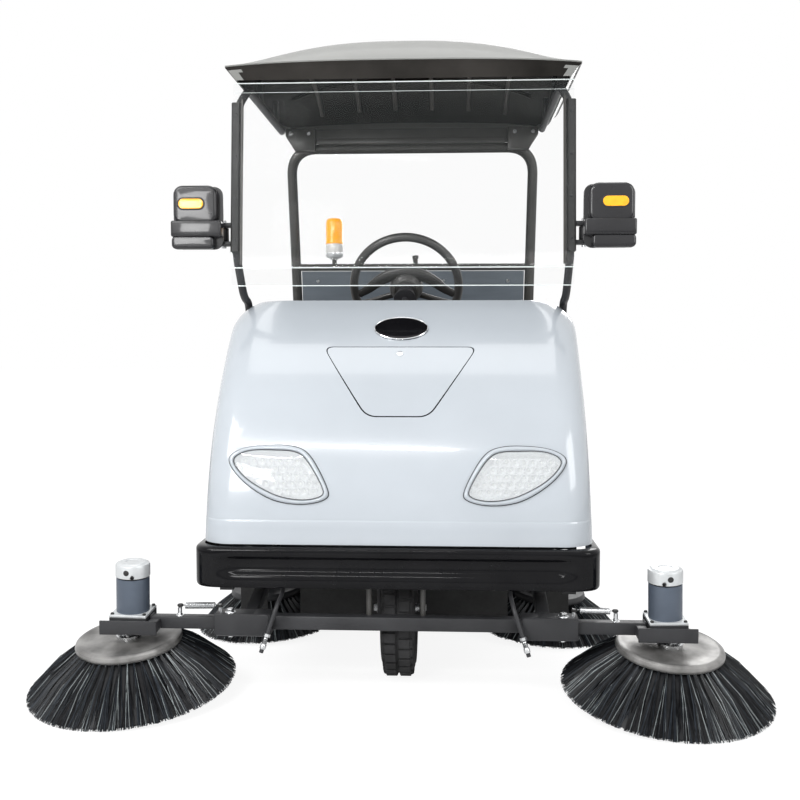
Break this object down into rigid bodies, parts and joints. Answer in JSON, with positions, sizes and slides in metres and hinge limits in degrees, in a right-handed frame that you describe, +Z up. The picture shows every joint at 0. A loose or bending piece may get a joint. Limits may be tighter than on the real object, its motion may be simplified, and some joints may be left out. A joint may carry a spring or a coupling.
{
  "type": "ride on sweeper",
  "caption": "Three-wheeled ride-on battery floor sweeper with canopy roof, windscreen, front and rear side brushes and a roller brush.",
  "frame": {"origin": "on the ground at the middle of the machine's footprint", "axes": "+Z up; -Y is the front of the machine, the way it drives; +X is the driver's left"},
  "size_m": [2.0764, 1.9682, 1.987],
  "materials": {
    "hood_paint": "gloss light blue-grey gel coat",
    "panel_paint": "satin blue-grey paint",
    "roof_shell": "light grey gel coat, dark underside",
    "frame_paint": "charcoal powder coat",
    "gloss_black": "gloss black moulding",
    "black_plastic": "grained black plastic",
    "reflector": "bright reflector",
    "clear_lens": "clear moulded lens",
    "windscreen_clear": "clear flat pane",
    "amber_lens": "translucent amber",
    "red_plastic": "gloss red",
    "tyre_rubber": "worn black rubber",
    "seat_vinyl": "grained black vinyl",
    "bristle": "black nylon filaments",
    "zinc_steel": "bright zinc plate",
    "motor_paint": "blue-grey motor body, aluminium cap"
  },
  "bodies": {
    "chassis": {"front_hood": "hood_paint", "rear_body": "hood_paint", "rear_panel": "panel_paint", "roof_canopy": "roof_shell", "chassis_frame": "frame_paint", "floor_plate": "frame_paint", "front_post_right": "frame_paint", "front_post_left": "frame_paint", "rear_hoop": "frame_paint", "rear_axle": "frame_paint", "roller_cover": "frame_paint", "bumper": "gloss_black", "badge_plate": "gloss_black", "dashboard": "black_plastic", "steering_column": "black_plastic", "storage_tub": "black_plastic", "battery_pack": "black_plastic", "headlight_right": "reflector", "headlight_left": "reflector", "headlight_lens_right": "clear_lens", "headlight_lens_left": "clear_lens", "beacon_base": "clear_lens", "windscreen": "windscreen_clear", "beacon_dome": "amber_lens", "tail_lamp_right": "red_plastic", "tail_lamp_left": "red_plastic", "spray_bar": "zinc_steel"},
    "steering_fork": {"steering_fork": "frame_paint"},
    "steering_wheel": {"steering_wheel": "black_plastic"},
    "horn_button": {"horn_button": "gloss_black"},
    "front_wheel": {"front_wheel": "tyre_rubber"},
    "main_roller_brush": {"main_roller_brush": "bristle"},
    "brush_frame": {"brush_frame": "frame_paint", "return_spring_right": "zinc_steel", "return_spring_left": "zinc_steel"},
    "storage_lid": {"storage_lid": "hood_paint"},
    "lid_lock": {"lid_lock": "zinc_steel"},
    "accelerator_pedal": {"accelerator_pedal": "black_plastic"},
    "brake_pedal": {"brake_pedal": "black_plastic"},
    "emergency_stop": {"emergency_stop": "red_plastic"},
    "key_switch": {"key_switch": "zinc_steel"},
    "seat": {"seat_slide": "frame_paint", "seat_cushion": "seat_vinyl", "seat_backrest": "seat_vinyl"},
    "dust_bin": {"dust_bin": "black_plastic"},
    "filter_cover": {"filter_cover": "hood_paint"},
    "rear_wheel_right": {"rear_wheel_right": "tyre_rubber"},
    "brush_arm_right": {"brush_arm_right": "frame_paint", "brush_motor_right": "motor_paint"},
    "side_brush_right": {"side_brush_right": "bristle"},
    "rear_brush_arm_right": {"rear_brush_arm_right": "frame_paint"},
    "rear_side_brush_right": {"rear_side_brush_right": "bristle"},
    "mirror_right": {"mirror_right": "black_plastic"},
    "rear_wheel_left": {"rear_wheel_left": "tyre_rubber"},
    "brush_arm_left": {"brush_arm_left": "frame_paint", "brush_motor_left": "motor_paint"},
    "side_brush_left": {"side_brush_left": "bristle"},
    "rear_brush_arm_left": {"rear_brush_arm_left": "frame_paint"},
    "rear_side_brush_left": {"rear_side_brush_left": "bristle"},
    "mirror_left": {"mirror_left": "black_plastic"}
  },
  "joints": [
    {"name": "front_steer", "type": "hinge", "parent": "chassis", "child": "steering_fork", "pos_m": [0, -0.48, 0.2], "axis": [0, 0, 1], "range_deg": [-50, 50]},
    {"name": "steering_wheel_turn", "type": "hinge", "parent": "chassis", "child": "steering_wheel", "pos_m": [0, -0.07, 1.186], "axis": [0, 0.8829, 0.4695], "range_deg": [-150, 150]},
    {"name": "horn_press", "type": "slide", "parent": "steering_wheel", "child": "horn_button", "axis": [0, -0.8829, -0.4695], "range_m": [0, 0.004], "stiffness_N_per_m": 500},
    {"name": "front_wheel_spin", "type": "hinge", "parent": "steering_fork", "child": "front_wheel", "pos_m": [0, -0.48, 0.2], "axis": [1, 0, 0], "continuous": true},
    {"name": "rear_wheel_right_spin", "type": "hinge", "parent": "chassis", "child": "rear_wheel_right", "pos_m": [-0.46, 0.66, 0.2], "axis": [1, 0, 0], "continuous": true},
    {"name": "rear_wheel_left_spin", "type": "hinge", "parent": "chassis", "child": "rear_wheel_left", "pos_m": [0.46, 0.66, 0.2], "axis": [1, 0, 0], "continuous": true},
    {"name": "roller_spin", "type": "hinge", "parent": "chassis", "child": "main_roller_brush", "pos_m": [0, 0.38, 0.1425], "axis": [1, 0, 0], "continuous": true},
    {"name": "brush_frame_lift", "type": "hinge", "parent": "chassis", "child": "brush_frame", "pos_m": [0, -0.26, 0.33], "axis": [-1, 0, 0], "range_deg": [0, 5]},
    {"name": "brush_arm_right_swing", "type": "hinge", "parent": "brush_frame", "child": "brush_arm_right", "pos_m": [-0.46, -0.735, 0.222], "axis": [0, 0, -1], "range_deg": [0, 25], "stiffness_Nm_per_rad": 30},
    {"name": "side_brush_right_spin", "type": "hinge", "parent": "brush_arm_right", "child": "side_brush_right", "pos_m": [-0.752, -0.72, 0.165], "axis": [-0.0432, -0.1242, 0.9913], "continuous": true},
    {"name": "rear_brush_arm_right_lift", "type": "hinge", "parent": "chassis", "child": "rear_brush_arm_right", "pos_m": [-0.41, -0.19, 0.345], "axis": [1, 0, 0], "range_deg": [0, 5]},
    {"name": "rear_side_brush_right_spin", "type": "hinge", "parent": "rear_brush_arm_right", "child": "rear_side_brush_right", "pos_m": [-0.49, -0.01, 0.135], "axis": [-0.0522, -0.0522, 0.9973], "continuous": true},
    {"name": "brush_arm_left_swing", "type": "hinge", "parent": "brush_frame", "child": "brush_arm_left", "pos_m": [0.46, -0.735, 0.222], "axis": [0, 0, 1], "range_deg": [0, 25], "stiffness_Nm_per_rad": 30},
    {"name": "side_brush_left_spin", "type": "hinge", "parent": "brush_arm_left", "child": "side_brush_left", "pos_m": [0.752, -0.72, 0.165], "axis": [0.0432, -0.1242, 0.9913], "continuous": true},
    {"name": "rear_brush_arm_left_lift", "type": "hinge", "parent": "chassis", "child": "rear_brush_arm_left", "pos_m": [0.41, -0.19, 0.345], "axis": [1, 0, 0], "range_deg": [0, 5]},
    {"name": "rear_side_brush_left_spin", "type": "hinge", "parent": "rear_brush_arm_left", "child": "rear_side_brush_left", "pos_m": [0.49, -0.01, 0.135], "axis": [0.0522, -0.0522, 0.9973], "continuous": true},
    {"name": "storage_lid_open", "type": "hinge", "parent": "chassis", "child": "storage_lid", "pos_m": [0, -0.63302, 0.792], "axis": [1, 0, 0], "range_deg": [0, 80]},
    {"name": "lid_lock_turn", "type": "hinge", "parent": "storage_lid", "child": "lid_lock", "pos_m": [0, -0.49477, 0.964], "axis": [0, -0.6957, 0.7183], "range_deg": [0, 90]},
    {"name": "mirror_right_fold", "type": "hinge", "parent": "chassis", "child": "mirror_right", "pos_m": [-0.556, -0.345, 1.378], "axis": [0, 0, -1], "range_deg": [0, 60]},
    {"name": "mirror_left_fold", "type": "hinge", "parent": "chassis", "child": "mirror_left", "pos_m": [0.556, -0.345, 1.378], "axis": [0, 0, 1], "range_deg": [0, 60]},
    {"name": "accelerator_press", "type": "hinge", "parent": "chassis", "child": "accelerator_pedal", "pos_m": [-0.17, -0.056, 0.486], "axis": [1, 0, 0], "range_deg": [0, 14], "stiffness_Nm_per_rad": 8},
    {"name": "brake_press", "type": "hinge", "parent": "chassis", "child": "brake_pedal", "pos_m": [-0.04, -0.056, 0.486], "axis": [1, 0, 0], "range_deg": [0, 14], "stiffness_Nm_per_rad": 12},
    {"name": "emergency_stop_press", "type": "slide", "parent": "chassis", "child": "emergency_stop", "axis": [0, -0.4024, -0.9155], "range_m": [0, 0.005], "stiffness_N_per_m": 800},
    {"name": "key_turn", "type": "hinge", "parent": "chassis", "child": "key_switch", "pos_m": [0.26, -0.14984, 1.08017], "axis": [0, 0.4024, 0.9155], "range_deg": [0, 90]},
    {"name": "seat_adjust", "type": "slide", "parent": "chassis", "child": "seat", "axis": [0, -1, 0], "range_m": [0, 0.1]},
    {"name": "dust_bin_pull", "type": "slide", "parent": "chassis", "child": "dust_bin", "axis": [0, 1, 0], "range_m": [0, 0.3]},
    {"name": "filter_cover_open", "type": "hinge", "parent": "chassis", "child": "filter_cover", "pos_m": [0, 0.922, 0.806], "axis": [-1, 0, 0], "range_deg": [0, 75]}
  ],
  "couplings": [
    {"joint": "steering_wheel_turn", "follows": "front_steer", "ratio": 3}
  ]
}
